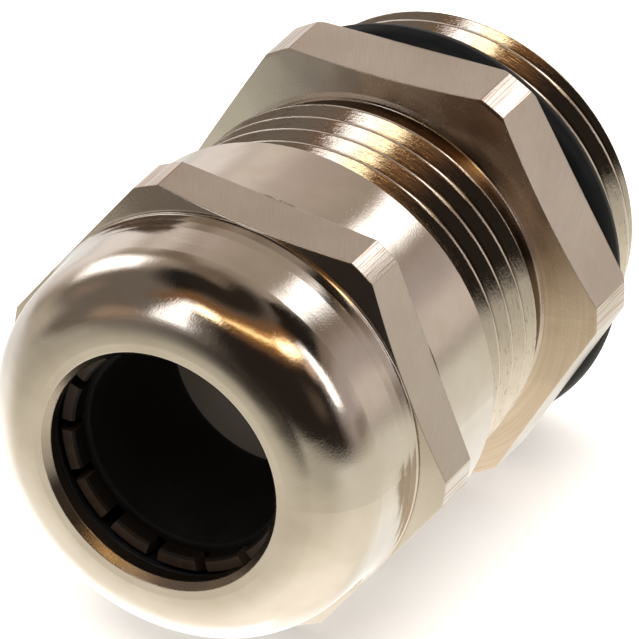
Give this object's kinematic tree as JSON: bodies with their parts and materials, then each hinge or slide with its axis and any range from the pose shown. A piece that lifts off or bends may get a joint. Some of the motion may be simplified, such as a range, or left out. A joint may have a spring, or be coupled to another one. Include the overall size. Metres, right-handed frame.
{
  "type": "cable gland",
  "caption": "Metal cable gland: hexagon-flanged body with connection thread, domed clamping nut, rubber seal squeezed by a ring of bending fingers, and an O-ring.",
  "frame": {"origin": "centre of the flange's rear seating face, on the gland's axis", "axes": "+Y along the gland's axis, out of the connection thread; the domed nut points to -Y; +Z is normal to the flange hexagon's top flat"},
  "size_m": [0.0246, 0.0326, 0.0232],
  "materials": {
    "nickel_plating": "satin nickel plating on brass, turned and milled surfaces",
    "slip_ring_plastic": "smooth moulded black plastic",
    "insert_plastic": "moulded polyamide, grey-brown",
    "seal_rubber": "matte black rubber",
    "o_ring_rubber": "black rubber with a slight sheen"
  },
  "bodies": {
    "gland_body": {"gland_body": "nickel_plating", "o_ring": "o_ring_rubber", "clamp_collar": "insert_plastic", "cable_seal": "seal_rubber"},
    "slip_ring": {"slip_ring": "slip_ring_plastic"},
    "dome_nut": {"dome_nut": "nickel_plating"},
    "finger_01": {"finger_01": "insert_plastic"},
    "finger_02": {"finger_02": "insert_plastic"},
    "finger_03": {"finger_03": "insert_plastic"},
    "finger_04": {"finger_04": "insert_plastic"},
    "finger_05": {"finger_05": "insert_plastic"},
    "finger_06": {"finger_06": "insert_plastic"},
    "finger_07": {"finger_07": "insert_plastic"},
    "finger_08": {"finger_08": "insert_plastic"},
    "finger_09": {"finger_09": "insert_plastic"},
    "finger_10": {"finger_10": "insert_plastic"},
    "finger_11": {"finger_11": "insert_plastic"},
    "finger_12": {"finger_12": "insert_plastic"},
    "finger_13": {"finger_13": "insert_plastic"},
    "finger_14": {"finger_14": "insert_plastic"}
  },
  "joints": [
    {"name": "nut_travel", "type": "slide", "parent": "gland_body", "child": "slip_ring", "axis": [0, 1, 0], "range_m": [-0.00144, 0.00288]},
    {"name": "nut_spin", "type": "hinge", "parent": "slip_ring", "child": "dome_nut", "pos_m": [0, -0.02, 0], "axis": [0, 1, 0], "range_deg": [-360, 720], "deforming": ["cable_seal"]},
    {"name": "finger_01_bend", "type": "hinge", "parent": "gland_body", "child": "finger_01", "pos_m": [-0.00342, -0.0165, -0.00729], "axis": [-0.9053, 0, 0.4248], "range_deg": [-4.1, 8.2]},
    {"name": "finger_02_bend", "type": "hinge", "parent": "gland_body", "child": "finger_02", "pos_m": [0.00008, -0.0165, -0.00805], "axis": [-0.9999, 0, -0.01], "range_deg": [-4.1, 8.2]},
    {"name": "finger_03_bend", "type": "hinge", "parent": "gland_body", "child": "finger_03", "pos_m": [0.00357, -0.0165, -0.00722], "axis": [-0.8966, 0, -0.4429], "range_deg": [-4.1, 8.2]},
    {"name": "finger_04_bend", "type": "hinge", "parent": "gland_body", "child": "finger_04", "pos_m": [0.00634, -0.0165, -0.00496], "axis": [-0.6156, 0, -0.788], "range_deg": [-4.1, 8.2]},
    {"name": "finger_05_bend", "type": "hinge", "parent": "gland_body", "child": "finger_05", "pos_m": [0.00787, -0.0165, -0.00171], "axis": [-0.2127, 0, -0.9771], "range_deg": [-4.1, 8.2]},
    {"name": "finger_06_bend", "type": "hinge", "parent": "gland_body", "child": "finger_06", "pos_m": [0.00783, -0.0165, 0.00187], "axis": [0.2323, 0, -0.9726], "range_deg": [-4.1, 8.2]},
    {"name": "finger_07_bend", "type": "hinge", "parent": "gland_body", "child": "finger_07", "pos_m": [0.00624, -0.0165, 0.00508], "axis": [0.6313, 0, -0.7755], "range_deg": [-4.1, 8.2]},
    {"name": "finger_08_bend", "type": "hinge", "parent": "gland_body", "child": "finger_08", "pos_m": [0.00342, -0.0165, 0.00729], "axis": [0.9053, 0, -0.4248], "range_deg": [-4.1, 8.2]},
    {"name": "finger_09_bend", "type": "hinge", "parent": "gland_body", "child": "finger_09", "pos_m": [-0.00008, -0.0165, 0.00805], "axis": [0.9999, 0, 0.01], "range_deg": [-4.1, 8.2]},
    {"name": "finger_10_bend", "type": "hinge", "parent": "gland_body", "child": "finger_10", "pos_m": [-0.00357, -0.0165, 0.00722], "axis": [0.8966, 0, 0.4429], "range_deg": [-4.1, 8.2]},
    {"name": "finger_11_bend", "type": "hinge", "parent": "gland_body", "child": "finger_11", "pos_m": [-0.00634, -0.0165, 0.00496], "axis": [0.6156, 0, 0.788], "range_deg": [-4.1, 8.2]},
    {"name": "finger_12_bend", "type": "hinge", "parent": "gland_body", "child": "finger_12", "pos_m": [-0.00787, -0.0165, 0.00171], "axis": [0.2127, 0, 0.9771], "range_deg": [-4.1, 8.2]},
    {"name": "finger_13_bend", "type": "hinge", "parent": "gland_body", "child": "finger_13", "pos_m": [-0.00783, -0.0165, -0.00187], "axis": [-0.2323, 0, 0.9726], "range_deg": [-4.1, 8.2]},
    {"name": "finger_14_bend", "type": "hinge", "parent": "gland_body", "child": "finger_14", "pos_m": [-0.00624, -0.0165, -0.00508], "axis": [-0.6313, 0, 0.7755], "range_deg": [-4.1, 8.2]}
  ],
  "couplings": [
    {"joint": "nut_travel", "follows": "nut_spin", "m_per_rad": 0.00022457},
    {"joint": "finger_01_bend", "follows": "nut_spin", "ratio": 0.011111},
    {"joint": "finger_02_bend", "follows": "nut_spin", "ratio": 0.011111},
    {"joint": "finger_03_bend", "follows": "nut_spin", "ratio": 0.011111},
    {"joint": "finger_04_bend", "follows": "nut_spin", "ratio": 0.011111},
    {"joint": "finger_05_bend", "follows": "nut_spin", "ratio": 0.011111},
    {"joint": "finger_06_bend", "follows": "nut_spin", "ratio": 0.011111},
    {"joint": "finger_07_bend", "follows": "nut_spin", "ratio": 0.011111},
    {"joint": "finger_08_bend", "follows": "nut_spin", "ratio": 0.011111},
    {"joint": "finger_09_bend", "follows": "nut_spin", "ratio": 0.011111},
    {"joint": "finger_10_bend", "follows": "nut_spin", "ratio": 0.011111},
    {"joint": "finger_11_bend", "follows": "nut_spin", "ratio": 0.011111},
    {"joint": "finger_12_bend", "follows": "nut_spin", "ratio": 0.011111},
    {"joint": "finger_13_bend", "follows": "nut_spin", "ratio": 0.011111},
    {"joint": "finger_14_bend", "follows": "nut_spin", "ratio": 0.011111}
  ]
}
